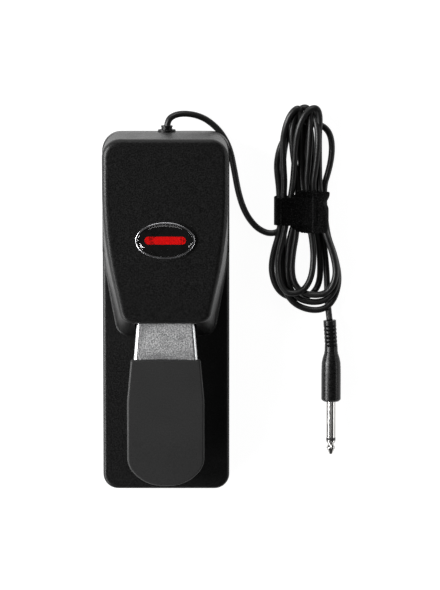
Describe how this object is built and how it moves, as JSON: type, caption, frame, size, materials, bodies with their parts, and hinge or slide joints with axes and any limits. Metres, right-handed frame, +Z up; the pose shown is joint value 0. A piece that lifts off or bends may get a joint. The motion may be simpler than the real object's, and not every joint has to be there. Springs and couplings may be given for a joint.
{
  "type": "sustain pedal",
  "caption": "Piano-style sustain pedal: low base, tapering cover, chromed sprung lever with rubber treadle, lead with 6.35 mm plug.",
  "frame": {"origin": "centre of the base's footprint, on the floor", "axes": "+Z up; +Y to the rear, where the lead leaves; -Y to the toe; +X to the side the lead lies on"},
  "size_m": [0.1618, 0.2572, 0.0568],
  "materials": {
    "housing_plastic": "fine satin texture",
    "plated_steel": "zinc plated",
    "sole_rubber": "matte",
    "screw_steel": "zinc plated",
    "bright_chrome": "polished",
    "badge_black": "gloss",
    "badge_red": "gloss",
    "clear_resin": "clear gloss",
    "lever_chrome": "polished edges, satin blasted face",
    "treadle_rubber": "satin",
    "nylon": "satin",
    "pin_steel": "ground",
    "spring_steel": "drawn wire",
    "board_laminate": "solder mask",
    "switch_plastic": "moulded",
    "contact_brass": "tinned",
    "cord_rubber": "satin",
    "red_insulation": "smooth",
    "strap_fabric": "hook and loop pile",
    "plug_plastic": "satin moulded",
    "plug_nickel": "nickel plated"
  },
  "bodies": {
    "base": {"base_shell": "housing_plastic", "bottom_plate": "plated_steel", "rubber_sole": "sole_rubber", "bottom_screws": "screw_steel", "top_cover": "housing_plastic", "cover_screws": "screw_steel", "badge_bezel": "bright_chrome", "badge_plate": "badge_black", "badge_mark": "badge_red", "badge_dome": "clear_resin", "pivot_bracket": "plated_steel", "bracket_screws": "screw_steel", "pivot_pin": "pin_steel", "pin_clips": "screw_steel", "return_spring": "spring_steel", "spring_seat": "nylon", "rest_bumpers": "sole_rubber", "travel_stop": "sole_rubber", "circuit_board": "board_laminate", "board_screws": "screw_steel", "switch_body": "switch_plastic", "switch_legs": "contact_brass", "strain_relief": "cord_rubber", "cord_lead": "cord_rubber", "cord_tail": "cord_rubber", "cord_inner_end": "cord_rubber", "signal_wire": "red_insulation", "return_wire": "cord_rubber", "cord_hank": "cord_rubber", "cable_strap": "strap_fabric", "plug_handle": "plug_plastic", "plug_sleeve": "plug_nickel", "plug_insulator": "switch_plastic", "plug_tip": "plug_nickel"},
    "pedal": {"pedal_lever": "lever_chrome", "treadle_pad": "treadle_rubber", "lever_bushes": "nylon"},
    "plunger": {"switch_plunger": "nylon"}
  },
  "joints": [
    {"name": "pedal_pivot", "type": "hinge", "parent": "base", "child": "pedal", "pos_m": [0, 0.048, 0.033], "axis": [1, 0, 0], "range_deg": [0, 5], "stiffness_Nm_per_rad": 8, "springref_deg": -3.58, "deforming": ["return_spring"]},
    {"name": "plunger_slide", "type": "slide", "parent": "base", "child": "plunger", "axis": [0, 0, 1], "range_m": [0, 0.0014]}
  ],
  "couplings": [
    {"joint": "plunger_slide", "follows": "pedal_pivot", "m_per_rad": 0.0148}
  ]
}
